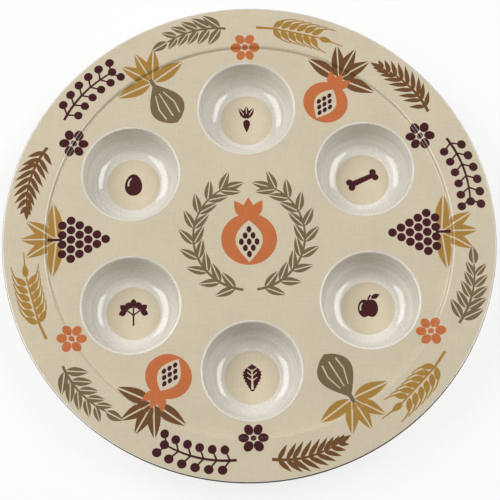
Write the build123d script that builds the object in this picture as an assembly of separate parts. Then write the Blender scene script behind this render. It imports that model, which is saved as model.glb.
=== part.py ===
from build123d import *

import os
from math import cos, radians, sin, tan

# Round seder plate: one moulded melamine body with a recessed centre and six deep wells,
# faced with a printed foil that stops at the well lips, and a printed disc on each well floor.
# Millimetres, +Z up. The origin lies on the table, under the plate's centre. The plate's
# lower edge, nearest the reader, is at -Y.

# Driving dimensions of the plate
PLATE_D = 300.0  # overall diameter
WALL = 3.0  # thickness of the moulding
RIM_W = 26.25  # outer edge to the middle of the step
EDGE_TOP_R = 0.9  # rounding of the rim's upper edge, where the foil stops
EDGE_BAND = 0.4  # upright trimmed band round the rim, between its two roundings

# Driving dimensions of the step between rim and centre
STEP_H = 2.0  # rim above the centre
STEP_SLOPE = 62.0  # degrees from level, on top
STEP_CONVEX_R = 2.0  # rounding where the rim breaks into the step
STEP_CONCAVE_R = 1.0  # rounding where the step meets the centre
UNDER_SLOPE = 45.0  # degrees from level, on the underside
UNDER_CONVEX_R = 2.0
UNDER_CONCAVE_R = 1.5

# Driving dimensions of the wells
WELL_NAMES = ("top", "upper_right", "lower_right", "bottom", "lower_left", "upper_left")
WELL_DEPTH = 22.0  # centre's face to the well floor
WELL_MARGIN = 8.5  # level land left between a well and the step
WELL_WEB = 21.9  # level land left between neighbouring wells
WELL_DRAFT = 6.0  # degrees that the well wall leans out from upright
LIP_FLAT = 0.4  # bare level ring between foil and lip
LIP_R = 1.0  # rounding of the lip
BLEND_R = 11.3  # sweep from the well wall to its floor
NECK_R = 2.5  # rounding where a cup meets the underside

# Driving dimensions of the foot ring under each well
FOOT_H = 1.2
FOOT_W = 3.2
FOOT_INSET = 1.2  # ring's outside in from the edge of the flat bottom
FOOT_EDGE_R = 0.4

# Driving dimensions of the printed foil, its clear glaze included
FOIL_T = 0.3
DISC_MARGIN = 0.2  # flat floor left bare round each printed disc

# Levels
FLOOR_Z = FOOT_H + WALL
LAND_Z = FLOOR_Z + WELL_DEPTH
RIM_Z = LAND_Z + STEP_H
SEAT_Z = LAND_Z - FOIL_T  # body's face under the foil, at the centre

# Step on top: two arcs joined by a straight slope, centred on the step radius
PLATE_R = PLATE_D / 2
STEP_R = PLATE_R - RIM_W
SLOPE = radians(STEP_SLOPE)
STEP_RADII = STEP_CONVEX_R + STEP_CONCAVE_R
STEP_STRAIGHT = (STEP_H - STEP_RADII * (1 - cos(SLOPE))) / sin(SLOPE)
STEP_RUN = STEP_RADII * sin(SLOPE) + STEP_STRAIGHT * cos(SLOPE)
STEP_IN_R = STEP_R - STEP_RUN / 2  # where the level centre ends
STEP_OUT_R = STEP_R + STEP_RUN / 2  # where the level rim starts
FOIL_R = PLATE_R - EDGE_TOP_R

# Ring of wells: each well keeps its margin to the step and its web to the next well
WELL_COUNT = len(WELL_NAMES)
HALF_TURN = sin(radians(180.0 / WELL_COUNT))
MOUTH_R = (2 * (STEP_IN_R - WELL_MARGIN) * HALF_TURN - WELL_WEB) / (2 * (1 + HALF_TURN))
RING_R = STEP_IN_R - WELL_MARGIN - MOUTH_R

# Well section: lip arc, leaning wall, floor sweep
LEAN = radians(90.0 - WELL_DRAFT)  # wall's angle from level
LIP_START_R = MOUTH_R - LIP_FLAT
WALL_STRAIGHT = (WELL_DEPTH - (LIP_R + BLEND_R) * (1 - cos(LEAN))) / sin(LEAN)
FLOOR_R = LIP_START_R - (LIP_R + BLEND_R) * sin(LEAN) - WALL_STRAIGHT * cos(LEAN)
LIP = (LIP_START_R, LAND_Z - LIP_R)  # middle of the lip arc
SWEEP = (FLOOR_R, FLOOR_Z + BLEND_R)  # middle of the floor sweep, inside and out
OUTSIDE_R = BLEND_R + WALL  # the sweep's outer radius
DISC_R = FLOOR_R - DISC_MARGIN
FOOT_OUT_R = FLOOR_R - FOOT_INSET
FOOT_IN_R = FOOT_OUT_R - FOOT_W

UNDER_Z = LAND_Z - WALL  # underside of the centre
ABOVE = LAND_Z + WELL_DEPTH  # clear of everything, for cutting tools
NEAR = 0.01  # how closely an edge has to match the radius and level that it is picked by


def section(start, *moves):
    """Closed face in the XZ plane through (r, z) points.

    A move is an end point for a line, or a (through, end) pair for an arc.
    """
    edges = []
    here = start
    for move in (*moves, start):
        if isinstance(move[0], tuple):
            through, end = move
            edges.append(ThreePointArc(*[(r, 0, z) for r, z in (here, through, end)]))
        else:
            end = move
            edges.append(Line((here[0], 0, here[1]), (end[0], 0, end[1])))
        here = end
    return make_face(edges)


def at(centre, radius, angle):
    """Point on a circle, at an angle in degrees from +r towards +z."""
    return (centre[0] + radius * cos(radians(angle)), centre[1] + radius * sin(radians(angle)))


def turn(centre, radius, start, end):
    """Through and end points of an arc about a centre, from one angle to another."""
    return (at(centre, radius, (start + end) / 2), at(centre, radius, end))


def drum(radius, low, high):
    """Upright cylinder between two levels."""
    return Pos(0, 0, low) * Cylinder(radius, high - low, align=(Align.CENTER, Align.CENTER, Align.MIN))


def face_line(depth):
    """Moves outwards along the plate's top as far as the foil goes, a set depth under its face."""
    foot = (STEP_IN_R, LAND_Z + STEP_CONCAVE_R)
    brow = (STEP_OUT_R, RIM_Z - STEP_CONVEX_R)
    brow_r = STEP_CONVEX_R - depth
    return [
        (STEP_IN_R, LAND_Z - depth),
        turn(foot, STEP_CONCAVE_R + depth, -90, STEP_SLOPE - 90),
        at(brow, brow_r, STEP_SLOPE + 90),
        turn(brow, brow_r, STEP_SLOPE + 90, 90),
        (FOIL_R, RIM_Z - depth),
    ]


def under_line():
    """Moves along the underside, from the rim inwards to the axis."""
    slope = radians(UNDER_SLOPE)
    radii = UNDER_CONVEX_R + UNDER_CONCAVE_R
    straight = (STEP_H - radii * (1 - cos(slope))) / sin(slope)
    run = radii * sin(slope) + straight * cos(slope)
    middle_r = STEP_R + WALL / 2
    inner = (middle_r - run / 2, UNDER_Z + UNDER_CONVEX_R)
    outer = (middle_r + run / 2, RIM_Z - WALL - UNDER_CONCAVE_R)
    return [
        (outer[0], RIM_Z - WALL),
        turn(outer, UNDER_CONCAVE_R, 90, UNDER_SLOPE + 90),
        at(inner, UNDER_CONVEX_R, UNDER_SLOPE - 90),
        turn(inner, UNDER_CONVEX_R, UNDER_SLOPE - 90, -90),
        (0, UNDER_Z),
    ]


def bare_plate():
    """Rim, step and centre as one turned disc, with the foil's seat on top and no wells yet."""
    under_r = WALL - EDGE_TOP_R - EDGE_BAND
    under_edge = (PLATE_R - under_r, RIM_Z - WALL + under_r)
    outline = section(
        (0, SEAT_Z),
        *face_line(FOIL_T),
        (FOIL_R, RIM_Z),
        turn((FOIL_R, RIM_Z - EDGE_TOP_R), EDGE_TOP_R, 90, 0),
        (PLATE_R, under_edge[1]),
        turn(under_edge, under_r, 0, -90),
        *under_line(),
    )
    return revolve(outline, Axis.Z)


def outer_wall_r(level):
    """Radius of a cup's outer wall at a level above its sweep."""
    wall_foot = at(SWEEP, OUTSIDE_R, -WELL_DRAFT)
    return wall_foot[0] + (level - wall_foot[1]) / tan(LEAN)


def cup():
    """Outside of one well, with its foot ring, up into the thickness of the plate."""
    top_z = UNDER_Z + WALL / 2
    toe_in = (FOOT_IN_R + FOOT_EDGE_R, FOOT_EDGE_R)
    toe_out = (FOOT_OUT_R - FOOT_EDGE_R, FOOT_EDGE_R)
    outline = section(
        (0, FOOT_H),
        (FOOT_IN_R, FOOT_H),
        (FOOT_IN_R, FOOT_EDGE_R),
        turn(toe_in, FOOT_EDGE_R, 180, 270),
        (toe_out[0], 0),
        turn(toe_out, FOOT_EDGE_R, 270, 360),
        (FOOT_OUT_R, FOOT_H),
        (FLOOR_R, FOOT_H),
        turn(SWEEP, OUTSIDE_R, -90, -WELL_DRAFT),
        (outer_wall_r(top_z), top_z),
        (0, top_z),
    )
    return revolve(outline, Axis.Z)


def hollow():
    """Space inside one well, open at the top."""
    outline = section(
        (0, FLOOR_Z),
        (FLOOR_R, FLOOR_Z),
        turn(SWEEP, BLEND_R, -90, -WELL_DRAFT),
        at(LIP, LIP_R, 180 - WELL_DRAFT),
        turn(LIP, LIP_R, 180 - WELL_DRAFT, 90),
        (LIP_START_R, ABOVE),
        (0, ABOVE),
    )
    return revolve(outline, Axis.Z)


def well_places():
    """Centre of each well, clockwise from the top as the reader sees the plate."""
    places = []
    for i in range(WELL_COUNT):
        angle = radians(90.0 - 360.0 * i / WELL_COUNT)
        places.append(Pos(RING_R * cos(angle), RING_R * sin(angle), 0))
    return places


def moulded_plate(places):
    """The melamine body: disc, cups, necks and lips, less the wells and the printed discs' seats."""
    plate = bare_plate() + [place * cup() for place in places]
    meet_r = outer_wall_r(UNDER_Z)
    necks = [
        edge
        for edge in plate.edges().filter_by(GeomType.CIRCLE)
        if abs(edge.arc_center.Z - UNDER_Z) < NEAR and abs(edge.radius - meet_r) < NEAR
    ]
    plate = fillet(necks, NECK_R)
    plate += [place * drum(MOUTH_R, SEAT_Z - FOIL_T, LAND_Z) for place in places]
    plate -= [place * hollow() for place in places]
    plate -= [place * drum(DISC_R, FLOOR_Z - FOIL_T, ABOVE) for place in places]
    return plate


def faced_block(depth):
    """Turned block under the plate's face, or a set depth under it, down to the table."""
    return revolve(section((0, LAND_Z - depth), *face_line(depth), (FOIL_R, 0), (0, 0)), Axis.Z)


def printed_face(places):
    """The printed foil over rim, step and centre, with a hole for each well."""
    sheet = faced_block(0) - faced_block(FOIL_T)
    return sheet - [place * drum(MOUTH_R, 0, ABOVE) for place in places]


def printed_disc():
    """The printed disc that lies flush in a well floor."""
    return drum(DISC_R, FLOOR_Z - FOIL_T, FLOOR_Z)


def main():
    os.makedirs("parts", exist_ok=True)
    places = well_places()
    nodes = {"moulded_plate": moulded_plate(places), "printed_face": printed_face(places)}
    for name, place in zip(WELL_NAMES, places):
        nodes[f"printed_disc_{name}"] = place * printed_disc()
    for name, shape in nodes.items():
        export_step(shape, f"parts/{name}.step")
    print(f"well mouths {2 * MOUTH_R:.2f} on a ring of {2 * RING_R:.2f}, discs {2 * DISC_R:.2f} across")


main()
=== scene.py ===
"""Seder plate: a moulded melamine plate faced with printed foils, dressed on its packed construction.

Sizes are in millimetres and become metres where a mesh is made. On the print a point in plan is a
complex number, x + iy, with x to the reader's right and y away from the reader.
"""

import cmath
import logging
from collections.abc import Sequence
from dataclasses import dataclass, field
from enum import Enum
from math import cos, pi, radians, sin
from typing import ClassVar

import bpy
from mathutils import Euler, Matrix, Vector
from mathutils.geometry import delaunay_2d_cdt


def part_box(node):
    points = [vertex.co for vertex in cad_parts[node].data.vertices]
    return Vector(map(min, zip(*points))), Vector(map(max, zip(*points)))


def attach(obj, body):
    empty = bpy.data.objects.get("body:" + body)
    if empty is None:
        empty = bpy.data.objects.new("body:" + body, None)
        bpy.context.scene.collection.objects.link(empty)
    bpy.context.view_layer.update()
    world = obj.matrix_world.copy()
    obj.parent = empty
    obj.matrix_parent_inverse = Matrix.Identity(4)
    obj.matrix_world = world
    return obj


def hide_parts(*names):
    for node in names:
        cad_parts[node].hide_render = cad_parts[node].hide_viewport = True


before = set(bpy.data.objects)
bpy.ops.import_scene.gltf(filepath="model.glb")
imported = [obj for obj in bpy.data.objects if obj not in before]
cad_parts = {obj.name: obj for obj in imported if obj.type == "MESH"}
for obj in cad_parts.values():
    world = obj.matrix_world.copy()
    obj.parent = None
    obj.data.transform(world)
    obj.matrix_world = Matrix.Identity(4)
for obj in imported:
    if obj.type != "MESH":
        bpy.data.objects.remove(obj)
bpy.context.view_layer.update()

MM = 0.001
BODY = "root"
LOG = logging.getLogger("seder_plate")
NOISE_MIDDLE = 0.5  # middle of Blender's noise
WHITE = (1.0, 1.0, 1.0, 1.0)

Outline = list[complex]


class Slot(Enum):
    """Material slots of the record."""

    BODY = "melamine_body"
    FOIL = "printed_foil"


class Ink(Enum):
    """Colours of the print, as they look on the finished plate."""

    GROUND = "#cfc3aa"
    OCHRE = "#a67f3c"
    TAUPE = "#75644a"
    BROWN = "#6d4a2c"
    MAROON = "#431b21"
    TERRACOTTA = "#c26f42"


def linear(hex_code: str) -> tuple[float, float, float, float]:
    """Turn an sRGB hex colour into linear light.

    Args:
        hex_code: colour as "#rrggbb".

    Returns:
        Red, green, blue and an alpha of one.
    """
    parts = [int(hex_code[i : i + 2], 16) / 255 for i in (1, 3, 5)]
    red, green, blue = [p / 12.92 if p <= 0.04045 else ((p + 0.055) / 1.055) ** 2.4 for p in parts]
    return red, green, blue, 1.0


def shaded(hex_code: str, factor: float) -> tuple[float, float, float, float]:
    """Make a colour lighter or darker in linear light.

    Args:
        hex_code: colour as "#rrggbb".
        factor: what its light is multiplied by.

    Returns:
        Red, green, blue and an alpha of one.
    """
    red, green, blue, alpha = linear(hex_code)
    return red * factor, green * factor, blue * factor, alpha


def add_node(
    tree: bpy.types.NodeTree,
    kind: str,
    settings: dict[str, object] | None = None,
    feeds: dict[str | int, object] | None = None,
) -> bpy.types.Node:
    """Add one shader node with its settings and links.

    Args:
        tree: node tree that the node joins.
        kind: Blender's name for the kind of node.
        settings: the node's own properties, by name.
        feeds: values or output sockets for its inputs, by name or number.

    Returns:
        The new node.
    """
    node = tree.nodes.new(kind)
    for name, value in (settings or {}).items():
        setattr(node, name, value)
    for key, feed in (feeds or {}).items():
        if isinstance(feed, bpy.types.NodeSocket):
            tree.links.new(feed, node.inputs[key])
        else:
            node.inputs[key].default_value = feed
    return node


def empty_material(name: str) -> tuple[bpy.types.Material, bpy.types.NodeTree]:
    """Make a material whose node tree is empty.

    Args:
        name: the material's name.

    Returns:
        The material and its tree.
    """
    material = bpy.data.materials.new(name)
    material.use_nodes = True
    material.node_tree.nodes.clear()
    return material, material.node_tree


@dataclass(frozen=True)
class MouldedMelamine:
    """Melamine resin pressed in a polished steel mould, and filed round its edge where the mould parted.

    It gives the eye a warm off-white with a hard, clear gloss, a fine speckle of filler, faint rings in the
    wells where the mould was polished on a lathe, and a thin dull brown line round the edge, partly the
    filed edge and partly painted shade, widened by painted shade towards the plate's front.
    """

    edge_radius_mm: float  # where the mould parted
    colour: str = "#e0dcd2"
    tone_range: float = 0.17
    tone_spread: float = 0.7  # how far clouds, rings and speckle together stray from their middle
    cloud_mm: float = 38.0
    ior: float = 1.6
    roughness: float = 0.1
    roughness_range: tuple[float, float] = (0.8, 1.3)  # shares of the roughness, over the rings
    ring_mm: float = 1.6  # polishing marks are finer than this; drawn as coarse as they need to show
    ring_run_mm: float = 83.33  # how far round a well a ring keeps its tone
    ring_spread: float = 0.2  # how far the rings stray from their middle
    ring_weight: float = 1.7  # against the clouds, which count once
    ring_depth_mm: float = 0.004
    bump_strength: float = 0.5
    speckle_mm: float = 1.2  # grains of filler are finer than this; drawn as coarse as they need to show
    speckle_weight: float = 1.3
    # dark brown of the edge band: partly the filed edge's own colour, partly painted shade on the edge
    filed_edge_and_shade_colour: str = "#4c3826"
    filed_roughness: float = 0.75
    filed_and_shade_mm: float = 0.15  # how far in from the edge the dark band reaches all round: the filed edge, and painted shade
    painted_shade_mm: float = 0.42  # painted shade: how much further the dark band reaches towards the plate's front
    painted_shade_clock: float = 168.0  # middle of the painted shade, in degrees clockwise from the plate's top
    painted_shade_span: tuple[float, float] = (26.0, 60.0)  # degrees from its middle to where it tapers and ends
    fade_mm: float = 0.2

    def make(self) -> bpy.types.Material:
        """Build the material's nodes.

        Returns:
            The finished material.
        """
        material, tree = empty_material("melamine_compression_moulded_gloss")
        spot = add_node(tree, "ShaderNodeTexCoord").outputs["Object"]
        cloud = add_node(
            tree,
            "ShaderNodeTexNoise",
            feeds={"Vector": spot, "Scale": 1 / (self.cloud_mm * MM), "Detail": 3.0},
        )
        run = 1 / (self.ring_run_mm * MM)
        stretched = add_node(
            tree,
            "ShaderNodeMapping",
            feeds={"Vector": spot, "Scale": (run, run, 1 / (self.ring_mm * MM))},
        )
        rings = add_node(
            tree,
            "ShaderNodeTexNoise",
            feeds={"Vector": stretched.outputs["Vector"], "Scale": 1.0, "Detail": 2.0},
        )
        speckle = add_node(
            tree,
            "ShaderNodeTexNoise",
            feeds={"Vector": spot, "Scale": 1 / (self.speckle_mm * MM), "Detail": 2.0},
        )
        mixed = cloud.outputs["Fac"]
        for noise, weight in ((rings, self.ring_weight), (speckle, self.speckle_weight)):
            more = add_node(
                tree,
                "ShaderNodeMath",
                {"operation": "MULTIPLY_ADD"},
                {0: noise.outputs["Fac"], 1: weight, 2: mixed},
            )
            mixed = more.outputs[0]
        middle = NOISE_MIDDLE * (1 + self.ring_weight + self.speckle_weight)
        share = add_node(
            tree,
            "ShaderNodeMapRange",
            feeds={
                "Value": mixed,
                "From Min": middle - self.tone_spread,
                "From Max": middle + self.tone_spread,
            },
        )
        tone = add_node(
            tree,
            "ShaderNodeMix",
            {"data_type": "RGBA"},
            {
                "Factor": share.outputs["Result"],
                "A": shaded(self.colour, 1 - self.tone_range),
                "B": shaded(self.colour, 1 + self.tone_range),
            },
        )
        bump = add_node(
            tree,
            "ShaderNodeBump",
            feeds={
                "Strength": self.bump_strength,
                "Distance": self.ring_depth_mm * MM,
                "Height": rings.outputs["Fac"],
            },
        )
        smoothest, roughest = self.roughness_range
        gloss = add_node(
            tree,
            "ShaderNodeMapRange",
            feeds={
                "Value": rings.outputs["Fac"],
                "From Min": NOISE_MIDDLE - self.ring_spread,
                "From Max": NOISE_MIDDLE + self.ring_spread,
                "To Min": self.roughness * smoothest,
                "To Max": self.roughness * roughest,
            },
        )
        in_plan = add_node(
            tree, "ShaderNodeVectorMath", {"operation": "MULTIPLY"}, {0: spot, 1: (1.0, 1.0, 0.0)}
        )
        radius = add_node(
            tree, "ShaderNodeVectorMath", {"operation": "LENGTH"}, {0: in_plan.outputs["Vector"]}
        )
        # painted shade: the dark edge band widens towards the plate's front, where the edge falls in shade
        towards = spin(90 - self.painted_shade_clock) / (self.edge_radius_mm * MM)
        facing = add_node(
            tree,
            "ShaderNodeVectorMath",
            {"operation": "DOT_PRODUCT"},
            {0: spot, 1: (towards.real, towards.imag, 0.0)},
        )
        taper, end = self.painted_shade_span
        painted_shade = add_node(
            tree,
            "ShaderNodeMapRange",
            {"interpolation_type": "SMOOTHSTEP"},
            {
                "Value": facing.outputs["Value"],
                "From Min": cos(radians(end)),
                "From Max": cos(radians(taper)),
                "To Max": self.painted_shade_mm * MM,
            },
        )
        radius_plus_shade = add_node(
            tree,
            "ShaderNodeMath",
            {"operation": "ADD"},
            {0: radius.outputs["Value"], 1: painted_shade.outputs["Result"]},
        )
        # dark band round the edge: the filed edge all round, with painted shade widening it towards the
        # front
        filed_and_shaded = add_node(
            tree,
            "ShaderNodeMapRange",
            feeds={
                "Value": radius_plus_shade.outputs[0],
                "From Min": (self.edge_radius_mm - self.filed_and_shade_mm - self.fade_mm) * MM,
                "From Max": (self.edge_radius_mm - self.filed_and_shade_mm) * MM,
            },
        )
        coloured = add_node(
            tree,
            "ShaderNodeMix",
            {"data_type": "RGBA"},
            {
                "Factor": filed_and_shaded.outputs["Result"],
                "A": tone.outputs["Result"],
                "B": linear(self.filed_edge_and_shade_colour),
            },
        )
        dulled = add_node(
            tree,
            "ShaderNodeMix",
            {"data_type": "FLOAT"},
            {"Factor": filed_and_shaded.outputs["Result"], "A": gloss.outputs["Result"], "B": self.filed_roughness},
        )
        shader = add_node(
            tree,
            "ShaderNodeBsdfPrincipled",
            feeds={
                "Base Color": coloured.outputs["Result"],
                "Roughness": dulled.outputs["Result"],
                "IOR": self.ior,
                "Normal": bump.outputs["Normal"],
            },
        )
        add_node(tree, "ShaderNodeOutputMaterial", feeds={"Surface": shader.outputs["BSDF"]})
        return material


@dataclass(frozen=True)
class GlazedPrint:
    """Decor paper printed in one ink and pressed under a clear melamine glaze.

    It gives the eye a flat colour broken by a faint linen weave, under a smooth satin gloss.
    """

    ink: Ink
    tone_range: float = 0.075
    tone_spread: float = 0.6  # how far weave and clouds together stray from their middle
    thread_mm: float = 0.8  # real threads are about 0.4 mm apart; drawn as coarse as they need to show
    slub_mm: float = 9.0  # length of a thicker stretch of thread
    cloud_mm: float = 30.0
    ior: float = 1.6
    roughness: float = 0.09
    ripple_mm: float = 6.0
    ripple_depth_mm: float = 0.006
    bump_strength: float = 0.4

    def make(self) -> bpy.types.Material:
        """Build the material's nodes.

        Returns:
            The finished material.
        """
        material, tree = empty_material(f"glazed_decor_paper_{self.ink.name.lower()}")
        spot = add_node(tree, "ShaderNodeTexCoord").outputs["Object"]
        fine, long = 1 / (self.thread_mm * MM), 1 / (self.slub_mm * MM)
        threads = []
        for scale in ((long, fine, long), (fine, long, long)):
            stretched = add_node(tree, "ShaderNodeMapping", feeds={"Vector": spot, "Scale": scale})
            noise = add_node(
                tree,
                "ShaderNodeTexNoise",
                feeds={"Vector": stretched.outputs["Vector"], "Scale": 1.0, "Detail": 1.5},
            )
            threads.append(noise.outputs["Fac"])
        weave = add_node(tree, "ShaderNodeMath", {"operation": "ADD"}, {0: threads[0], 1: threads[1]})
        cloud = add_node(
            tree,
            "ShaderNodeTexNoise",
            feeds={"Vector": spot, "Scale": 1 / (self.cloud_mm * MM), "Detail": 2.0},
        )
        mixed = add_node(
            tree, "ShaderNodeMath", {"operation": "ADD"}, {0: weave.outputs[0], 1: cloud.outputs["Fac"]}
        )
        share = add_node(
            tree,
            "ShaderNodeMapRange",
            feeds={
                "Value": mixed.outputs[0],
                "From Min": 3 * NOISE_MIDDLE - self.tone_spread,
                "From Max": 3 * NOISE_MIDDLE + self.tone_spread,
            },
        )
        tone = add_node(
            tree,
            "ShaderNodeMix",
            {"data_type": "RGBA"},
            {
                "Factor": share.outputs["Result"],
                "A": shaded(self.ink.value, 1 - self.tone_range),
                "B": shaded(self.ink.value, 1 + self.tone_range),
            },
        )
        ripple = add_node(
            tree,
            "ShaderNodeTexNoise",
            feeds={"Vector": spot, "Scale": 1 / (self.ripple_mm * MM), "Detail": 1.0},
        )
        bump = add_node(
            tree,
            "ShaderNodeBump",
            feeds={
                "Strength": self.bump_strength,
                "Distance": self.ripple_depth_mm * MM,
                "Height": ripple.outputs["Fac"],
            },
        )
        shader = add_node(
            tree,
            "ShaderNodeBsdfPrincipled",
            feeds={
                "Base Color": tone.outputs["Result"],
                "Roughness": self.roughness,
                "IOR": self.ior,
                "Normal": bump.outputs["Normal"],
            },
        )
        add_node(tree, "ShaderNodeOutputMaterial", feeds={"Surface": shader.outputs["BSDF"]})
        return material


def steps(start: float, end: float, count: int) -> list[float]:
    """Give evenly spaced numbers, both ends included."""
    return [start + (end - start) * i / (count - 1) for i in range(count)]


def spin(degrees: float) -> complex:
    """Give the unit complex number that turns a point by an angle."""
    return cmath.rect(1, radians(degrees))


def moved(
    outlines: Sequence[Outline], to: complex = 0j, turn: float = 0.0, size: float = 1.0
) -> list[Outline]:
    """Size, turn and move outlines.

    Args:
        outlines: what to move.
        to: where their origin goes.
        turn: degrees, counter-clockwise.
        size: scale about their origin.

    Returns:
        The moved outlines.
    """
    factor = size * spin(turn)
    return [[to + factor * p for p in line] for line in outlines]


def oval(length: float, width: float, points: int = 24) -> Outline:
    """Draw an ellipse about the origin, its length along x."""
    return [complex(length / 2 * cos(a), width / 2 * sin(a)) for a in steps(0, 2 * pi, points + 1)[:-1]]


def blade(length: float, width: float, fullness: float = 0.9, points: int = 12) -> Outline:
    """Draw a pointed leaf or seed that grows from the origin along x.

    Args:
        length: from its root to its tip.
        width: at its widest.
        fullness: below 1 puts the widest place nearer the root.
        points: along each edge.

    Returns:
        The closed outline.
    """
    edge = [complex(length * t, width / 2 * sin(pi * t**fullness)) for t in steps(0, 1, points)]
    return edge + [p.conjugate() for p in edge[-2:0:-1]]


def veined_leaf(
    length: float, width: float, vein: float = 0.7, fullness: float = 0.8, points: int = 11
) -> list[Outline]:
    """Draw the two halves of a leaf, parted along its vein.

    Args:
        length: from its root to its tip.
        width: at its widest.
        vein: gap between the halves.
        fullness: below 1 puts the widest place nearer the root.
        points: along each edge.

    Returns:
        Both halves.
    """
    half = []
    for t in steps(0, 1, points):
        half.append(complex(length * t, (vein + (width - vein) * sin(pi * t**fullness)) / 2))
    return [half, [p.conjugate() for p in half]]


def stroke(spots: Sequence[complex], start_width: float, end_width: float) -> Outline:
    """Draw a tapered line.

    Args:
        spots: points along its middle.
        start_width: width at the first spot.
        end_width: width at the last spot.

    Returns:
        The closed outline.
    """
    last = len(spots) - 1
    left, right = [], []
    for i, spot in enumerate(spots):
        ahead = spots[min(i + 1, last)] - spots[max(i - 1, 0)]
        across = 0.5j * ahead / abs(ahead) * (start_width + (end_width - start_width) * i / last)
        left.append(spot + across)
        right.append(spot - across)
    return left + right[::-1]


def bow(length: float, rise: float, points: int = 12) -> list[complex]:
    """Give spots along a shallow arch, its ends on the x axis."""
    return [complex(x, rise * (1 - (2 * x / length) ** 2)) for x in steps(-length / 2, length / 2, points)]


def arc(half_width: float, half_height: float, start: float, end: float, points: int = 9) -> list[complex]:
    """Give spots along part of an ellipse, between two angles in degrees."""
    ways = [radians(a) for a in steps(start, end, points)]
    return [complex(half_width * cos(a), half_height * sin(a)) for a in ways]


def counter_clockwise(outline: Outline) -> Outline:
    """Order an outline's points so that its inside lies to the left."""
    area = sum((a.conjugate() * b).imag for a, b in zip(outline, outline[1:] + outline[:1]))
    return outline if area > 0 else outline[::-1]


@dataclass(frozen=True)
class Shape:
    """One closed outline of the print, and the ink that fills it."""

    ink: Ink
    outline: Outline


class Ornament:
    """A plant or food, drawn flat about its own middle."""

    def outlines(self) -> list[Outline]:
        """Draw the ornament."""
        raise NotImplementedError

    def bare(self) -> list[Outline]:
        """Draw what is left unprinted inside it."""
        return []

    def printed(self, ink: Ink) -> list[Shape]:
        """Fill the ornament with ink and leave its bare marks open.

        Args:
            ink: the ornament's colour.

        Returns:
            Its shapes, the upper ones last.
        """
        filled = [Shape(ink, line) for line in self.outlines()]
        return filled + [Shape(Ink.GROUND, line) for line in self.bare()]


@dataclass(frozen=True)
class OliveSprig(Ornament):
    """Curved twig with paired leaves."""

    length: float = 38.0
    rise: float = 2.0
    twig: tuple[float, float] = (1.7, 0.9)  # width at its foot and at its tip
    leaf_length: float = 13.5
    leaf_width: float = 5.8
    leaf_lean: float = 46.0  # degrees off the twig, for the first pair
    lean_loss: float = 3.0  # degrees less for each pair after it
    size_loss: float = 0.07  # share of its size that each pair loses
    root_gap: float = 0.5  # from the twig's middle to a leaf's root
    tip_size: float = 0.85  # tip leaf's length, as a share of the others'
    tip_turn: float = -8.0

    def outlines(self) -> list[Outline]:
        """Draw twig, leaf pairs and tip leaf.

        Returns:
            Their outlines, from the foot up.
        """
        spine = bow(self.length, self.rise)
        lines = [stroke(spine, *self.twig)]
        pair = veined_leaf(self.leaf_length, self.leaf_width)
        for i, spot in enumerate(spine[1:-1:2]):
            lean = self.leaf_lean - self.lean_loss * i
            for side in (1, -1):
                lines += moved(pair, spot + 1j * side * self.root_gap, side * lean, 1 - self.size_loss * i)
        tip = veined_leaf(self.leaf_length * self.tip_size, self.leaf_width)
        return lines + moved(tip, spine[-1], self.tip_turn)


@dataclass(frozen=True)
class WheatEar(Ornament):
    """Ear of wheat on its stalk, with awns past its grains."""

    rows: int = 6
    pitch: float = 4.9
    grain_length: float = 9.0
    grain_width: float = 3.8
    grain_fullness: float = 0.75
    lean: float = 44.0
    root_gap: float = 0.8  # from the stalk's middle to a grain's root
    stalk: float = 11.0
    stalk_widths: tuple[float, float] = (1.8, 1.0)
    awn: float = 7.0
    awn_widths: tuple[float, float] = (1.0, 0.6)
    awn_leans: tuple[float, float] = (20.0, 14.0)  # degrees, to its middle and to its tip
    awn_start: float = 0.92  # share of a grain's length at which its awn starts
    crown_awn_start: float = 0.8  # the same on the top grain

    def outlines(self) -> list[Outline]:
        """Draw stalk, grains and awns.

        Returns:
            Their outlines, from the foot up.
        """
        ear = self.rows * self.pitch
        foot = self.stalk - (self.stalk + ear + self.awn) / 2
        crown = complex(foot + ear)
        lines = [stroke([complex(foot - self.stalk), complex(foot), crown], *self.stalk_widths)]
        grain = blade(self.grain_length, self.grain_width, self.grain_fullness)
        middle_lean, tip_lean = self.awn_leans
        for i in range(self.rows):
            for side in (1, -1):
                root = complex(foot + self.pitch * i, self.root_gap * side)
                lines += moved([grain], root, side * self.lean)
                start = root + self.awn_start * self.grain_length * spin(side * self.lean)
                middle = start + self.awn / 2 * spin(side * middle_lean)
                tip = start + self.awn * spin(side * tip_lean)
                lines.append(stroke([start, middle, tip], *self.awn_widths))
        lines += moved([grain], crown)
        top_awn = [crown + self.crown_awn_start * self.grain_length, crown + self.grain_length + self.awn]
        return lines + [stroke(top_awn, *self.awn_widths)]


@dataclass(frozen=True)
class BerryTwig(Ornament):
    """Twig with round berries on short stalks."""

    length: float = 42.0
    rise: float = 1.6
    twig: tuple[float, float] = (1.7, 1.1)  # width at its foot and at its tip
    berry: float = 5.4
    stalk: float = 7.0
    stalk_widths: tuple[float, float] = (1.1, 1.0)
    lean: float = 58.0

    def outlines(self) -> list[Outline]:
        """Draw twig, stalks and berries.

        Returns:
            Their outlines, from the foot up.
        """
        spine = bow(self.length, self.rise)
        berry = oval(self.berry, self.berry)
        lines = [stroke(spine, *self.twig)]
        for spot in spine[1::2]:
            for side in (1, -1):
                tip = spot + self.stalk * spin(side * self.lean)
                lines.append(stroke([spot, tip], *self.stalk_widths))
                lines += moved([berry], tip)
        return lines + moved([berry], spine[-1] + self.berry / 4)


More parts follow.
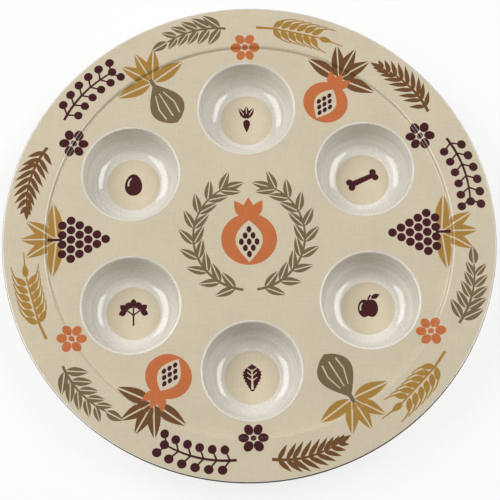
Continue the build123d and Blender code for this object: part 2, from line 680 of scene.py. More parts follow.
@dataclass(frozen=True)
class PalmFrond(Ornament):
    """Feathered palm leaf."""

    length: float = 41.0
    rise: float = 2.2
    rib: tuple[float, float] = (2.0, 0.8)  # width at its foot and at its tip
    leaflets: int = 9
    first_leaflet: float = 0.8  # its place along the rib, in spaces between leaflets
    reach: float = 13.0
    leaflet_width: float = 2.9
    fullness: float = 0.7
    swell: tuple[float, float] = (0.22, 0.66)  # start and length of the half wave that the reach follows
    swell_flatness: float = 0.8
    lean: float = 54.0  # degrees off the rib, at its foot
    lean_loss: float = 24.0  # degrees less at its tip
    tip_size: float = 0.6  # tip leaflet's length, as a share of the reach
    tip_turn: float = -8.0

    def outlines(self) -> list[Outline]:
        """Draw rib and leaflets.

        Returns:
            Their outlines, from the foot up.
        """
        spine = bow(self.length, self.rise, 4 * self.leaflets)
        lines = [stroke(spine, *self.rib)]
        swell_start, swell_length = self.swell
        for i in range(self.leaflets):
            along = (i + self.first_leaflet) / self.leaflets
            root = spine[int(along * (len(spine) - 1))]
            reach = self.reach * sin(pi * (swell_start + swell_length * along)) ** self.swell_flatness
            leaflet = blade(reach, self.leaflet_width, self.fullness)
            for side in (1, -1):
                lines += moved([leaflet], root, side * (self.lean - self.lean_loss * along))
        tip = blade(self.reach * self.tip_size, self.leaflet_width, self.fullness)
        return lines + moved([tip], spine[-1], self.tip_turn)


@dataclass(frozen=True)
class Blossom(Ornament):
    """Open flower with rounded petals round an eye, its parts as shares of its width."""

    across: float = 18.0
    petals: int = 6
    petal: float = 0.36
    petal_flatness: float = 0.84
    eye: float = 0.2

    def outlines(self) -> list[Outline]:
        """Draw petals and eye.

        Returns:
            Their outlines, the eye first.
        """
        eye = self.eye * self.across
        petal = self.petal * self.across
        lines = [oval(eye, eye)]
        for i in range(self.petals):
            way = 360 / self.petals * i
            root = (self.across - petal) / 2 * spin(way)
            lines += moved([oval(petal, self.petal_flatness * petal)], root, way)
        return lines


@dataclass(frozen=True)
class Pomegranate(Ornament):
    """Round fruit with a crown, split open on its seeds, its parts in radii of the fruit."""

    across: float = 28.0
    flatness: float = 0.96
    tooth: tuple[float, float] = (0.72, 0.4)  # length and width of a tooth of the crown
    tooth_fullness: float = 0.75
    tooth_level: float = 0.84
    tooth_leans: tuple[float, ...] = (-32.0, 0.0, 32.0)
    tooth_spread: float = 0.004  # sideways, for each degree of lean
    split: tuple[float, float] = (1.56, 0.98)  # length and width
    split_level: float = 0.7
    seed: tuple[float, float] = (0.25, 0.18)
    seed_rows: tuple[int, ...] = (1, 2, 3, 2, 1)
    seed_pitch: tuple[float, float] = (0.28, 0.23)  # along a row, and between rows
    seed_level: float = 0.36  # of the top row

    def outlines(self) -> list[Outline]:
        """Draw fruit and crown.

        Returns:
            Their outlines, the fruit first.
        """
        r = self.across / 2
        length, width = self.tooth
        tooth = blade(length * r, width * r, self.tooth_fullness)
        lines = [oval(self.across, self.flatness * self.across, 48)]
        for lean in self.tooth_leans:
            lines += moved([tooth], complex(self.tooth_spread * lean * r, self.tooth_level * r), 90 - lean)
        return lines

    def bare(self) -> list[Outline]:
        """Draw the split.

        Returns:
            Its outline.
        """
        r = self.across / 2
        length, width = self.split
        return moved([blade(length * r, width * r)], complex(0, self.split_level * r), -90)

    def seeds(self) -> list[Outline]:
        """Draw the seeds in the split.

        Returns:
            Their outlines, row by row.
        """
        r = self.across / 2
        length, width = self.seed
        pitch, row_pitch = self.seed_pitch
        seed = oval(length * r, width * r, 14)
        lines = []
        for row, count in enumerate(self.seed_rows):
            for k in range(count):
                spot = complex(pitch * r * (k - (count - 1) / 2), r * (self.seed_level - row_pitch * row))
                lines += moved([seed], spot, 90)
        return lines

    def printed(self, ink: Ink) -> list[Shape]:
        """Fill fruit and seeds with ink, and leave the split open."""
        return super().printed(ink) + [Shape(Ink.MAROON, line) for line in self.seeds()]


@dataclass(frozen=True)
class GrapeBunch(Ornament):
    """Hanging bunch of round grapes on a stalk, its parts in widths of a grape."""

    grape: float = 5.8
    grape_print: float = 0.93  # what is printed of it, which keeps it off its neighbours
    rows: tuple[int, ...] = (4, 5, 4, 3, 2, 1)
    pitch: tuple[float, float] = (1.04, 0.91)  # along a row, and between rows
    top: float = 0.42  # height of the top row, for each row
    stalk: tuple[float, ...] = (0.0, 0.9, 1.6)  # heights above the top row
    stalk_widths: tuple[float, float] = (1.4, 2.2)  # in millimetres

    def outlines(self) -> list[Outline]:
        """Draw grapes and stalk.

        Returns:
            Their outlines, the stalk first.
        """
        top = self.top * self.grape * len(self.rows)
        pitch, row_pitch = self.pitch
        lines = [stroke([complex(0, top + rise * self.grape) for rise in self.stalk], *self.stalk_widths)]
        grape = oval(self.grape_print * self.grape, self.grape_print * self.grape)
        for row, count in enumerate(self.rows):
            for k in range(count):
                across = pitch * self.grape * (k - (count - 1) / 2)
                lines += moved([grape], complex(across, top - row_pitch * self.grape * row))
        return lines


@dataclass(frozen=True)
class Fig(Ornament):
    """Fig seen from the side, its ribs left bare, its parts as shares of half its width."""

    across: float = 26.0
    belly: float = 1.1
    neck: float = 0.35  # share of the belly's width that the neck keeps
    neck_level: float = 1.3
    height: float = 2.3
    roundness: tuple[float, float] = (0.75, 0.8)  # of the outline, and of the widening from neck to belly
    stalk: tuple[float, float] = (1.1, 1.6)  # heights that it runs between
    stalk_widths: tuple[float, float] = (2.8, 2.2)  # in millimetres
    ribs: tuple[float, ...] = (-0.42, 0.0, 0.42)  # places at the fig's middle
    rib_bends: tuple[tuple[float, float], ...] = ((0.5, 0.72), (1.0, 0.0), (0.86, -0.6))  # share, height
    rib_widths: tuple[float, float] = (0.6, 0.9)  # in millimetres

    def outlines(self) -> list[Outline]:
        """Draw fruit and stalk.

        Returns:
            Their outlines.
        """
        r = self.across / 2
        round_off, widen = self.roundness
        side = []
        for t in steps(0.02, 1, 22):
            width = self.belly * r * sin(pi * t) ** round_off * (self.neck + (1 - self.neck) * t**widen)
            side.append(complex(width, r * (self.neck_level - self.height * t)))
        fruit = side + [complex(-p.real, p.imag) for p in side[-2:0:-1]]
        return [fruit, stroke([complex(0, level * r) for level in self.stalk], *self.stalk_widths)]

    def bare(self) -> list[Outline]:
        """Draw the ribs.

        Returns:
            Their outlines, from left to right.
        """
        r = self.across / 2
        lines = []
        for rib in self.ribs:
            spots = [complex(share * rib * r, level * r) for share, level in self.rib_bends]
            lines.append(stroke(spots, *self.rib_widths))
        return lines


@dataclass(frozen=True)
class LeafWreath(Ornament):
    """Two branches of leaf pairs bent into a ring."""

    radius: float = 34.0
    pairs: int = 9
    branch: tuple[float, float] = (1.7, 1.0)  # width at its foot and at its tip
    leaf_length: float = 13.0
    leaf_width: float = 5.2
    leaf_lean: float = 36.0
    tip_turn: float = 100.0  # degrees from straight out to the tip leaf
    foot_gap: float = 7.0  # degrees from the foot to where a branch starts
    head_gap: float = 26.0  # degrees from where a branch ends to the head, filled by its tip leaf

    def outlines(self) -> list[Outline]:
        """Draw both branches from the foot up.

        Returns:
            Their outlines, one branch after the other.
        """
        pair = veined_leaf(self.leaf_length, self.leaf_width)
        lines = []
        for hand in (1, -1):
            ways = steps(-90 + hand * self.foot_gap, -90 + hand * (180 - self.head_gap), 4 * self.pairs)
            lines.append(stroke([self.radius * spin(a) for a in ways], *self.branch))
            for a in ways[2::4]:
                for side in (1, -1):
                    lines += moved(pair, self.radius * spin(a), a + hand * 90 + side * self.leaf_lean)
            lines += moved(pair, self.radius * spin(ways[-1]), ways[-1] + hand * self.tip_turn)
        return lines


@dataclass(frozen=True)
class Egg(Ornament):
    """Boiled egg."""

    length: float = 11.0
    width: float = 8.4
    taper: float = 0.14
    shine: tuple[float, float] = (0.3, 0.32)  # how far out it lies, as shares of width and length
    shine_ends: tuple[float, float] = (110.0, 190.0)
    shine_widths: tuple[float, float] = (0.5, 0.9)

    def outlines(self) -> list[Outline]:
        """Draw the egg, its blunt end down.

        Returns:
            Its outline.
        """
        egg = []
        for a in steps(0, 2 * pi, 37)[:-1]:
            half_width = self.width / 2 * cos(a) * (1 - self.taper * sin(a))
            egg.append(complex(half_width, self.length / 2 * sin(a)))
        return [egg]

    def bare(self) -> list[Outline]:
        """Draw the shine on its shoulder."""
        across, along = self.shine
        return [stroke(arc(across * self.width, along * self.length, *self.shine_ends), *self.shine_widths)]


@dataclass(frozen=True)
class ShankBone(Ornament):
    """Roasted bone with a knuckle at each end."""

    length: float = 12.5
    shaft: float = 2.4
    thick_end: float = 1.25  # in widths of the thin end
    knob: float = 3.3
    knob_spread: float = 0.42  # from the bone's middle line, in widths of a knob
    turn: float = 24.0

    def outlines(self) -> list[Outline]:
        """Draw shaft and knuckles.

        Returns:
            Their outlines, the shaft first.
        """
        ends = (complex(-self.length / 2), complex(self.length / 2))
        lines = [stroke([ends[0], 0j, ends[1]], self.shaft * self.thick_end, self.shaft)]
        for end in ends:
            for side in (1, -1):
                lines += moved([oval(self.knob, self.knob)], end + 1j * side * self.knob_spread * self.knob)
        return moved(lines, turn=self.turn)


@dataclass(frozen=True)
class Apple(Ornament):
    """Apple with its stalk and one leaf, its parts as shares of half its width."""

    across: float = 9.6
    cheek: tuple[float, float] = (1.28, 1.8)  # width and height of the fruit's two lobes
    cheek_shift: float = 0.36
    stalk: tuple[complex, ...] = (0.7j, 0.1 + 1.05j, 0.3 + 1.35j)
    stalk_widths: tuple[float, float] = (0.8, 0.9)  # in millimetres
    leaf: tuple[float, float] = (1.0, 0.5)  # length and width
    leaf_root: complex = 0.3 + 1.0j
    leaf_turn: float = 24.0
    shine: tuple[float, float] = (0.4, 0.58)
    shine_ends: tuple[float, float] = (110.0, 200.0)
    shine_widths: tuple[float, float] = (0.5, 0.8)  # in millimetres

    def outlines(self) -> list[Outline]:
        """Draw fruit, stalk and leaf.

        Returns:
            Their outlines, the fruit first.
        """
        r = self.across / 2
        cheek = oval(self.cheek[0] * r, self.cheek[1] * r, 30)
        lines = []
        for side in (1, -1):
            lines += moved([cheek], complex(self.cheek_shift * r * side))
        lines.append(stroke([spot * r for spot in self.stalk], *self.stalk_widths))
        leaf = blade(self.leaf[0] * r, self.leaf[1] * r)
        return lines + moved([leaf], self.leaf_root * r, self.leaf_turn)

    def bare(self) -> list[Outline]:
        """Draw the shine on its cheek.

        Returns:
            Its outline.
        """
        r = self.across / 2
        spots = arc(self.shine[0] * r, self.shine[1] * r, *self.shine_ends, points=8)
        return [stroke([spot - self.cheek_shift * r for spot in spots], *self.shine_widths)]


@dataclass(frozen=True)
class LettuceLeaf(Ornament):
    """Long lettuce leaf with a frilled edge."""

    length: float = 13.0
    width: float = 8.6
    frills: int = 9
    frill_depth: float = 0.07
    foot: float = 0.16  # share of its width that the leaf keeps at its foot
    roundness: tuple[float, float, float] = (1.5, 0.7, 9.0)  # of its lean to the tip, its sides and its tip
    rib: tuple[float, float] = (-0.44, 0.3)  # heights that it runs between, as shares of the length
    rib_widths: tuple[float, float] = (1.1, 0.4)
    veins: tuple[float, ...] = (-0.12, 0.06, 0.22)  # heights of their roots, as shares of the length
    vein: tuple[float, float] = (0.26, 0.13)  # run and rise, as shares of width and length
    vein_widths: tuple[float, float] = (0.5, 0.35)

    def outlines(self) -> list[Outline]:
        """Draw the leaf, upright.

        Returns:
            Its outline.
        """
        lean, sides, tip = self.roundness
        edge = []
        for t in steps(0, 1, 8 * self.frills):
            frill = 1 + self.frill_depth * sin(2 * pi * self.frills * t)
            swell = self.foot + (1 - self.foot) * sin(pi * t**lean) ** sides
            edge.append(complex(self.length * (t - 0.5), 0.5 * self.width * frill * swell * (1 - t**tip)))
        return moved([edge + [p.conjugate() for p in edge[::-1]]], turn=90)

    def bare(self) -> list[Outline]:
        """Draw rib and side veins.

        Returns:
            Their outlines, the rib first.
        """
        run, rise = self.vein
        lines = [stroke([complex(0, level * self.length) for level in self.rib], *self.rib_widths)]
        for level in self.veins:
            root = complex(0, level * self.length)
            for side in (1, -1):
                tip = root + complex(run * side * self.width, rise * self.length)
                lines.append(stroke([root, tip], *self.vein_widths))
        return lines


@dataclass(frozen=True)
class ParsleySprig(Ornament):
    """Sprig of parsley with three leaves."""

    length: float = 12.0
    fork: float = -0.08  # height where the stalk parts, as a share of the length
    branch: float = 0.3  # its length, as a share of the sprig's
    branch_leans: tuple[float, ...] = (-52.0, 0.0, 52.0)
    stalk_widths: tuple[float, float] = (0.9, 0.7)
    lobe: float = 3.0
    lobe_length: float = 1.5  # in widths of a lobe
    lobe_fullness: float = 1.3
    lobe_leans: tuple[float, ...] = (-62.0, 0.0, 62.0)

    def outlines(self) -> list[Outline]:
        """Draw stalks and lobed leaves.

        Returns:
            Their outlines, leaf by leaf.
        """
        foot = complex(0, -0.5 * self.length)
        fork = complex(0, self.fork * self.length)
        lobe = blade(self.lobe_length * self.lobe, self.lobe, self.lobe_fullness)
        lines = []
        for lean in self.branch_leans:
            tip = fork + self.branch * self.length * spin(90 + lean)
            lines.append(stroke([foot, fork, tip], *self.stalk_widths))
            for fan in self.lobe_leans:
                lines += moved([lobe], tip, 90 + lean + fan)
        return lines


@dataclass(frozen=True)
class BitterRoot(Ornament):
    """Horseradish root with its leaves."""

    root_length: float = 7.0
    root_width: float = 3.4
    root_fullness: float = 0.6
    neck: float = 0.6  # height of the root's top
    leaf_length: float = 6.6
    leaf_width: float = 2.9
    leaf_vein: float = 0.4
    leaf_gap: float = 0.4  # from the root's top to the leaves
    leaf_leans: tuple[float, ...] = (-34.0, 0.0, 34.0)

    def outlines(self) -> list[Outline]:
        """Draw root and leaves.

        Returns:
            Their outlines, the root first.
        """
        neck = complex(0, self.neck)
        lines = moved([blade(self.root_length, self.root_width, self.root_fullness)], neck, -90)
        leaf = veined_leaf(self.leaf_length, self.leaf_width, self.leaf_vein)
        for lean in self.leaf_leans:
            lines += moved(leaf, neck + 1j * self.leaf_gap, 90 + lean)
        return lines


def placed(
    shapes: Sequence[Shape], to: complex = 0j, turn: float = 0.0, size: float = 1.0
) -> list[Shape]:
    """Size, turn and move printed shapes.

    Args:
        shapes: what to move.
        to: where their origin goes.
        turn: degrees, counter-clockwise.
        size: scale about their origin.

    Returns:
        The moved shapes, in the same order.
    """
    return [Shape(s.ink, moved([s.outline], to, turn, size)[0]) for s in shapes]


def mirrored(shapes: Sequence[Shape]) -> list[Shape]:
    """Swap left and right of printed shapes."""
    return [Shape(s.ink, [complex(-p.real, p.imag) for p in s.outline]) for s in shapes]


def wrapped(shapes: Sequence[Shape], radius: float, clock: float) -> list[Shape]:
    """Bend shapes round the plate, their x axis along a circle and their top outwards.

    Args:
        shapes: what to bend.
        radius: circle that their x axis follows.
        clock: degrees clockwise from the plate's top.

    Returns:
        The bent shapes, in the same order.
    """
    start = pi / 2 - radians(clock)
    bent = []
    for shape in shapes:
        outline = [cmath.rect(radius + p.imag, start - p.real / radius) for p in shape.outline]
        bent.append(Shape(shape.ink, outline))
    return bent


@dataclass
class PrintedSheet:
    """A thin printed sheet, made as one closed mesh with a material for each ink."""

    OUT_TO_HULL: ClassVar[int] = 0  # Blender's number for triangles out to the convex hull
    MERGE_MM: ClassVar[float] = 1e-4  # points closer than this become one

    name: str
    node: str
    thickness: float
    shapes: list[Shape] = field(default_factory=list)

    def edge(self) -> Outline:
        """Draw the sheet's outer edge."""
        raise NotImplementedError

    def holes(self) -> list[Outline]:
        """Draw the sheet's holes."""
        return []

    def creases(self) -> list[Outline]:
        """Draw closed lines in plan along which the sheet bends."""
        return []

    def surface(self, p: complex) -> tuple[Vector, Vector]:
        """Give the sheet's upper face over a point in plan.

        Args:
            p: the point, in millimetres.

        Returns:
            Place and upward normal there, in millimetres.
        """
        raise NotImplementedError

    def cut(self) -> tuple[list[complex], list[tuple[list[int], Ink]]]:
        """Divide the sheet into triangles that follow its edges, creases and print.

        Returns:
            Points in plan, and each triangle's corners with its ink.
        """
        spots: list[complex] = []
        faces: list[list[int]] = []
        lines: list[tuple[int, int]] = []

        def add(outline: Outline, filled: bool) -> None:
            """Add one closed outline.

            Args:
                outline: its points.
                filled: whether it bounds a face, or else is a bend line.
            """
            ring = list(range(len(spots), len(spots) + len(outline)))
            spots.extend(counter_clockwise(outline))
            if filled:
                faces.append(ring)
            else:
                lines.extend(zip(ring, ring[1:] + ring[:1]))

        holes = self.holes()
        for outline in (self.edge(), *holes, *(s.outline for s in self.shapes)):
            add(outline, True)
        for crease in self.creases():
            add(crease, False)
        flat = [Vector((p.real, p.imag)) for p in spots]
        points, _, triangles, _, _, owners = delaunay_2d_cdt(
            flat, lines, faces, self.OUT_TO_HULL, self.MERGE_MM, True
        )
        first_shape = 1 + len(holes)
        kept = []
        for corners, owner in zip(triangles, owners):
            inside = 0 in owner and not any(1 <= i < first_shape for i in owner)
            if inside:
                top = max(owner) - first_shape
                ink = self.shapes[top].ink if top >= 0 else Ink.GROUND
                kept.append((list(corners), ink))
        return [complex(*p) for p in points], kept

    def build(self, finishes: dict[Ink, bpy.types.Material]) -> bpy.types.Object:
        """Make the sheet's mesh and dress it.

        Args:
            finishes: material of each ink.

        Returns:
            The sheet, riding on the plate in place of its construction node.
        """
        spots, triangles = self.cut()
        used = sorted({i for corners, _ in triangles for i in corners})
        index = {old: new for new, old in enumerate(used)}
        tops = [self.surface(spots[i]) for i in used]
        count = len(used)
        vertices = [place * MM for place, _ in tops]
        vertices += [(place - normal * self.thickness) * MM for place, normal in tops]
        inks = list(finishes)
        faces: list[list[int]] = []
        slots: list[int] = []
        normals: list[Vector] = []
        sides: dict[tuple[int, int], int] = {}
        for corners, ink in triangles:
            ring = [index[i] for i in corners]
            faces.append(ring)
            slots.append(inks.index(ink))
            normals += [tops[i][1] for i in ring]
            faces.append([count + i for i in reversed(ring)])
            slots.append(inks.index(Ink.GROUND))
            normals += [-tops[i][1] for i in reversed(ring)]
            for a, b in zip(ring, ring[1:] + ring[:1]):
                sides[a, b] = sides.get((a, b), 0) + 1
        for a, b in sides:
            if (b, a) not in sides:
                along = tops[b][0] - tops[a][0]
                faces.append([b, a, count + a, count + b])
                slots.append(inks.index(Ink.GROUND))
                normals += [along.cross(tops[a][1]).normalized()] * 4
        mesh = bpy.data.meshes.new(self.name)
        mesh.from_pydata(vertices, [], faces)
        for material in finishes.values():
            mesh.materials.append(material)
        mesh.polygons.foreach_set("material_index", slots)
        mesh.polygons.foreach_set("use_smooth", [True] * len(faces))
        mesh.normals_split_custom_set(normals)
        sheet = bpy.data.objects.new(self.name, mesh)
        bpy.context.scene.collection.objects.link(sheet)
        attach(sheet, BODY)
        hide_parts(self.node)
        return sheet


def circle(radius: float, points: int, centre: complex = 0j) -> Outline:
    """Draw a circle in plan."""
    return [centre + p for p in oval(2 * radius, 2 * radius, points)]


@dataclass
class Well:
    """One well of the plate, read from the disc on its floor."""

    name: str
    pictogram: Ornament

    @property
    def node(self) -> str:
        """Name of the disc's construction node."""
        return f"printed_disc_{self.name}"

    @property
    def centre(self) -> complex:
        """Middle of the well in plan, in millimetres."""
        low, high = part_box(self.node)
        return complex(*((low + high) / 2 / MM).xy)

    @property
    def clock(self) -> float:
        """Degrees clockwise from the plate's top."""
        return 90 - cmath.phase(self.centre) * 180 / pi


@dataclass
class FloorDisc(PrintedSheet):
    """Printed disc on a well's floor."""

    centre: complex = 0j
    radius: float = 0.0
    level: float = 0.0
    edge_points: int = 160
    pictogram_size: float = 1.3

    @classmethod
    def for_well(cls, well: Well) -> "FloorDisc":
        """Take a disc's sizes from its construction node and print the well's pictogram on it.

        Args:
            well: the well that it lies in.

        Returns:
            The disc, ready to build.
        """
        low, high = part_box(well.node)
        return cls(
            name=f"floor_disc_{well.name}",
            node=well.node,
            thickness=(high.z - low.z) / MM,
            shapes=placed(well.pictogram.printed(Ink.MAROON), well.centre, size=cls.pictogram_size),
            centre=well.centre,
            radius=(high.x - low.x) / 2 / MM,
            level=high.z / MM,
        )

    def edge(self) -> Outline:
        """Draw the disc's edge."""
        return circle(self.radius, self.edge_points, self.centre)

    def surface(self, p: complex) -> tuple[Vector, Vector]:
        """Give the flat upper face."""
        return Vector((p.real, p.imag, self.level)), Vector((0, 0, 1))


@dataclass
class FaceFoil(PrintedSheet):
    """Printed foil over rim, step and centre."""

    wells: list[Well] = field(default_factory=list)
    rim_width: float = 26.25  # plate's edge to the middle of the step
    step_slope: float = 62.0  # degrees from level
    brow_radius: float = 2.0  # rounding where the rim breaks into the step
    foot_radius: float = 1.0  # rounding where the step meets the centre
    well_margin: float = 8.5  # level land between a well and the step
    edge_points: int = 720
    hole_points: int = 240
    bend_rings: int = 6

    def __post_init__(self) -> None:
        """Read the levels and radii from the construction."""
        low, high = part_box(self.node)
        plate_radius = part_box("moulded_plate")[1].x / MM
        self.radius = high.x / MM
        self.rim_level = high.z / MM
        self.land_level = low.z / MM + self.thickness
        slope = radians(self.step_slope)
        radii = self.brow_radius + self.foot_radius
        height = self.rim_level - self.land_level
        straight = (height - radii * (1 - cos(slope))) / sin(slope)
        run = radii * sin(slope) + straight * cos(slope)
        self.step_start = plate_radius - self.rim_width - run / 2
        self.step_end = self.step_start + run
        self.mouth_radius = self.step_start - self.well_margin - abs(self.wells[0].centre)

    def edge(self) -> Outline:
        """Draw the foil's edge on the rim."""
        return circle(self.radius, self.edge_points)

    def holes(self) -> list[Outline]:
        """Draw a hole for each well."""
        return [circle(self.mouth_radius, self.hole_points, well.centre) for well in self.wells]

    def creases(self) -> list[Outline]:
        """Draw the rings along which the foil bends over the step.

        Returns:
            Those round its foot, and then those round its brow.
        """
        leans = [radians(a) for a in steps(0, self.step_slope, self.bend_rings)]
        radii = [self.step_start + self.foot_radius * sin(a) for a in leans]
        radii += [self.step_end - self.brow_radius * sin(a) for a in leans]
        return [circle(r, self.edge_points) for r in radii]

    def surface(self, p: complex) -> tuple[Vector, Vector]:
        """Give the foil's upper face over a point in plan.

        Args:
            p: the point, in millimetres.

        Returns:
            Place and upward normal there, in millimetres.
        """
        r = abs(p)
        slope = radians(self.step_slope)
        foot_end = self.step_start + self.foot_radius * sin(slope)
        brow_start = self.step_end - self.brow_radius * sin(slope)
        if r <= self.step_start:
            level, lean_sine = self.land_level, 0.0
        elif r <= foot_end:
            lean_sine = (r - self.step_start) / self.foot_radius
            level = self.land_level + self.foot_radius * (1 - (1 - lean_sine**2) ** 0.5)
        elif r < brow_start:
            lean_sine = sin(slope)
            foot_rise = self.foot_radius * (1 - cos(slope))
            level = self.land_level + foot_rise + (r - foot_end) * sin(slope) / cos(slope)
        elif r < self.step_end:
            lean_sine = (self.step_end - r) / self.brow_radius
            level = self.rim_level - self.brow_radius * (1 - (1 - lean_sine**2) ** 0.5)
        else:
            level, lean_sine = self.rim_level, 0.0
        way = p / r if r else 0j
        up = (1 - lean_sine**2) ** 0.5
        return Vector((p.real, p.imag, level)), Vector((-way.real * lean_sine, -way.imag * lean_sine, up))


@dataclass
class PlatePrint:
    """The plate's ornament: a garland on the rim, fruit between the wells and a wreath in the middle."""

    garland_radius: float = 136.8
    garland_spread: float = 13.0  # degrees from a well's middle to the sprigs on either side
    blossom_radius: float = 123.6
    fruit_radius: float = 99.0
    bough_radius: float = 117.0
    bough_leaf: tuple[float, float] = (20.0, 8.0)  # length and width
    bough_vein: float = 0.9
    bough_gap: float = 1.5  # from the bough's middle to a leaf's root
    bough_leaves: tuple[tuple[float, float], ...] = (
        (-84.0, 1.1), (-32.0, 1.0), (32.0, 1.0), (84.0, 1.1), (0.0, 1.0),
    )  # each leaf's lean in degrees from straight out, and its size
    wreath: LeafWreath = field(default_factory=LeafWreath)
    heart: Pomegranate = field(default_factory=lambda: Pomegranate(across=34.0))
    heart_drop: float = 2.0  # from the plate's middle, for the crown above it

    def garland(self, wells: Sequence[Well]) -> list[Shape]:
        """Print a blossom on the step outside each well, and a sprig on the rim to either side of it.

        Args:
            wells: the plate's wells.

        Returns:
            The garland's shapes.
        """
        sprigs = (
            (OliveSprig(), Ink.TAUPE),
            (WheatEar(), Ink.OCHRE),
            (PalmFrond(), Ink.BROWN),
            (BerryTwig(), Ink.MAROON),
        )
        blossom_inks = (Ink.TERRACOTTA, Ink.MAROON)
        shapes = []
        for i, well in enumerate(wells):
            blossom = Blossom().printed(blossom_inks[i % len(blossom_inks)])
            shapes += wrapped(blossom, self.blossom_radius, well.clock)
            for k, hand in enumerate((-1, 1)):
                ornament, ink = sprigs[(2 * i + k) % len(sprigs)]
                sprig = mirrored(ornament.printed(ink)) if hand < 0 else ornament.printed(ink)
                shapes += wrapped(sprig, self.garland_radius, well.clock + hand * self.garland_spread)
        return shapes

    def fruit(self, wells: Sequence[Well]) -> list[Shape]:
        """Print a fruit under its leaves between each pair of wells, growing in from the rim.

        Args:
            wells: the plate's wells.

        Returns:
            The fruits' shapes.
        """
        kinds = (
            (Pomegranate(), Ink.TERRACOTTA, Ink.BROWN),
            (GrapeBunch(), Ink.MAROON, Ink.OCHRE),
            (Fig(), Ink.TAUPE, Ink.OCHRE),
        )
        half_gap = 180 / len(wells)
        shapes = []
        for i, well in enumerate(wells):
            ornament, ink, leaf_ink = kinds[i % len(kinds)]
            bough = [Shape(leaf_ink, line) for line in self.bough()]
            fruit = placed(ornament.printed(ink), 1j * self.fruit_radius)
            shapes += placed(bough + fruit, turn=-(well.clock + half_gap))
        return shapes

    def bough(self) -> list[Outline]:
        """Draw the leaves above a fruit: some along the step and some across it.

        Returns:
            Their outlines, the upper ones last.
        """
        leaf = veined_leaf(*self.bough_leaf, self.bough_vein)
        lines = []
        for lean, size in self.bough_leaves:
            root = 1j * self.bough_radius + self.bough_gap * spin(90 - lean)
            lines += moved(leaf, root, 90 - lean, size)
        return lines

    def centre(self) -> list[Shape]:
        """Print the wreath and the fruit in it."""
        heart = placed(self.heart.printed(Ink.TERRACOTTA), -1j * self.heart_drop)
        return self.wreath.printed(Ink.TAUPE) + heart

    def whole(self, wells: Sequence[Well]) -> list[Shape]:
        """Give the whole print, the upper shapes last."""
        return self.garland(wells) + self.fruit(wells) + self.centre()


@dataclass
class MouldedPlate:
    """The moulded body, which keeps its construction mesh and takes a finish."""

    node: str = "moulded_plate"

    def dress(self) -> bpy.types.Object:
        """Put the finish on the body's own mesh.

        Returns:
            The body.
        """
        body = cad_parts[self.node]
        finish = MouldedMelamine(edge_radius_mm=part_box(self.node)[1].x / MM)
        body.data.materials.clear()
        body.data.materials.append(finish.make())
        return body


@dataclass(frozen=True)
class Lamp:
    """A rectangular soft box."""

    name: str
    place: tuple[float, float, float]
    aim: tuple[float, float, float]
    size: tuple[float, float]
    watts: float

    def make(self) -> bpy.types.Object:
        """Hang the soft box and turn it to its aim.

        Returns:
            The lamp.
        """
        light = bpy.data.lights.new(self.name, "AREA")
        light.shape = "RECTANGLE"
        light.size, light.size_y = self.size
        light.energy = self.watts
        lamp = bpy.data.objects.new(self.name, light)
        lamp.location = self.place
        lamp.rotation_euler = (Vector(self.aim) - Vector(self.place)).to_track_quat("-Z", "Y").to_euler()
        bpy.context.scene.collection.objects.link(lamp)
        return lamp


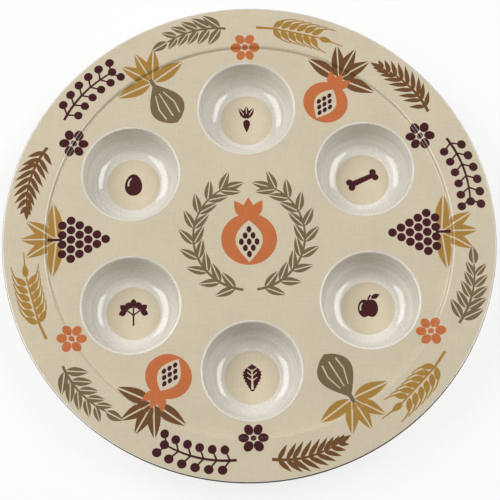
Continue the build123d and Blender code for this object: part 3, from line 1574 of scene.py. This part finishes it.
@dataclass
class Studio:
    """Floor, soft light and camera, in metres."""

    floor_half: float = 4.0
    floor_colour: str = "#f4f4f2"
    floor_white: float = 0.8  # share of plain white in what the camera and reflections see of the floor
    wall_light: float = 1.0  # the room's pale walls
    ceiling_light: float = 0.12  # its dim ceiling, which the level face mirrors
    ceiling_rise: tuple[float, float] = (0.08, 0.3)  # sines of the angles where it starts and is full
    shade_colour: str = "#75593a"  # the reader's side of the room
    shade_reach: tuple[float, float] = (-0.6, 0.2)  # sines of the angles where its shade fades and ends
    elevation: float = 74.0
    distance: float = 0.9
    roll: float = -1.27
    focal_mm: float = 106.9
    sensor_mm: float = 36.0
    target: tuple[float, float, float] = (0.00037, -0.009, 0.0262)
    lamps: tuple[Lamp, ...] = (
        Lamp("left_soft_box", (-0.82, 0.174, 1.04), (0.0, 0.0, 0.02), (1.22, 0.78), 13.6),
        Lamp("right_soft_box", (0.72, 0.152, 1.11), (0.0, 0.0, 0.02), (0.9, 0.6), 9.3),
    )

    def floor(self) -> bpy.types.Object:
        """Lay the pale floor, which shows white to the camera and in reflections, and keeps a soft shadow.

        Returns:
            The floor.
        """
        material, tree = empty_material("studio_floor_matt_card")
        path = add_node(tree, "ShaderNodeLightPath").outputs
        seen = path["Is Camera Ray"]
        for ray in ("Is Glossy Ray", "Is Transmission Ray"):
            either = add_node(tree, "ShaderNodeMath", {"operation": "MAXIMUM"}, {0: seen, 1: path[ray]})
            seen = either.outputs[0]
        share = add_node(tree, "ShaderNodeMath", {"operation": "MULTIPLY"}, {0: seen, 1: self.floor_white})
        card = add_node(tree, "ShaderNodeBsdfDiffuse", feeds={"Color": linear(self.floor_colour)})
        white = add_node(tree, "ShaderNodeEmission", feeds={"Color": WHITE, "Strength": 1.0})
        lit = add_node(
            tree,
            "ShaderNodeMixShader",
            feeds={0: share.outputs[0], 1: card.outputs[0], 2: white.outputs[0]},
        )
        clear = add_node(tree, "ShaderNodeBsdfTransparent")
        side = add_node(tree, "ShaderNodeNewGeometry")
        upper = add_node(
            tree,
            "ShaderNodeMixShader",
            feeds={0: side.outputs["Backfacing"], 1: lit.outputs[0], 2: clear.outputs[0]},
        )
        add_node(tree, "ShaderNodeOutputMaterial", feeds={"Surface": upper.outputs[0]})
        h = self.floor_half
        mesh = bpy.data.meshes.new("studio_floor")
        mesh.from_pydata([(-h, -h, 0), (h, -h, 0), (h, h, 0), (-h, h, 0)], [], [(0, 1, 2, 3)])
        mesh.materials.append(material)
        floor = bpy.data.objects.new("studio_floor", mesh)
        bpy.context.scene.collection.objects.link(floor)
        return floor

    def room(self) -> None:
        """Surround the plate with pale walls under a dim ceiling, shaded on the reader's side."""
        world = bpy.data.worlds.new("studio_room")
        world.use_nodes = True
        tree = world.node_tree
        tree.nodes.clear()
        way = add_node(tree, "ShaderNodeTexCoord")
        split = add_node(tree, "ShaderNodeSeparateXYZ", feeds={0: way.outputs["Generated"]})
        wall_top, ceiling_start = self.ceiling_rise
        shade_start, shade_end = self.shade_reach
        strength = add_node(
            tree,
            "ShaderNodeMapRange",
            {"interpolation_type": "SMOOTHSTEP"},
            {
                "Value": split.outputs["Z"],
                "From Min": wall_top,
                "From Max": ceiling_start,
                "To Min": self.wall_light,
                "To Max": self.ceiling_light,
            },
        )
        away = add_node(
            tree,
            "ShaderNodeMapRange",
            {"interpolation_type": "SMOOTHSTEP"},
            {"Value": split.outputs["Y"], "From Min": shade_start, "From Max": shade_end},
        )
        tone = add_node(
            tree,
            "ShaderNodeMix",
            {"data_type": "RGBA"},
            {"Factor": away.outputs["Result"], "A": linear(self.shade_colour), "B": WHITE},
        )
        room = add_node(
            tree,
            "ShaderNodeBackground",
            feeds={"Color": tone.outputs["Result"], "Strength": strength.outputs["Result"]},
        )
        add_node(tree, "ShaderNodeOutputWorld", feeds={"Surface": room.outputs[0]})
        bpy.context.scene.world = world

    def camera(self) -> bpy.types.Object:
        """Stand the camera above the plate's lower edge, as in the photograph.

        Returns:
            The camera.
        """
        data = bpy.data.cameras.new("camera")
        data.lens = self.focal_mm
        data.sensor_width = self.sensor_mm
        camera = bpy.data.objects.new("camera", data)
        lift = radians(self.elevation)
        back = Vector((0, -cos(lift), sin(lift)))
        look = Euler((pi / 2 - lift, 0, 0)).to_matrix().to_4x4()
        place = Vector(self.target) + back * self.distance
        camera.matrix_world = Matrix.Translation(place) @ look @ Matrix.Rotation(radians(self.roll), 4, "Z")
        bpy.context.scene.collection.objects.link(camera)
        bpy.context.scene.camera = camera
        return camera

    def set_up(self) -> None:
        """Build the whole studio."""
        bpy.context.scene.view_settings.view_transform = "Standard"
        self.floor()
        self.room()
        for lamp in self.lamps:
            lamp.make()
        self.camera()


def main() -> None:
    """Build and dress the plate, piece by piece, and set up its studio."""
    logging.basicConfig(level=logging.INFO, format="%(name)s: %(message)s")
    wells = [
        Well("top", BitterRoot()),
        Well("upper_right", ShankBone()),
        Well("lower_right", Apple()),
        Well("bottom", LettuceLeaf()),
        Well("lower_left", ParsleySprig()),
        Well("upper_left", Egg()),
    ]
    finishes = {ink: GlazedPrint(ink).make() for ink in Ink}
    body = MouldedPlate().dress()
    LOG.info("%s: %d faces", body.name, len(body.data.polygons))
    discs = [FloorDisc.for_well(well) for well in wells]
    foil = FaceFoil(
        name="face_foil",
        node="printed_face",
        thickness=discs[0].thickness,
        shapes=PlatePrint().whole(wells),
        wells=wells,
    )
    for sheet in (foil, *discs):
        made = sheet.build(finishes)
        LOG.info("%s: %d faces", made.name, len(made.data.polygons))
    Studio().set_up()


if __name__ == "__main__":
    main()
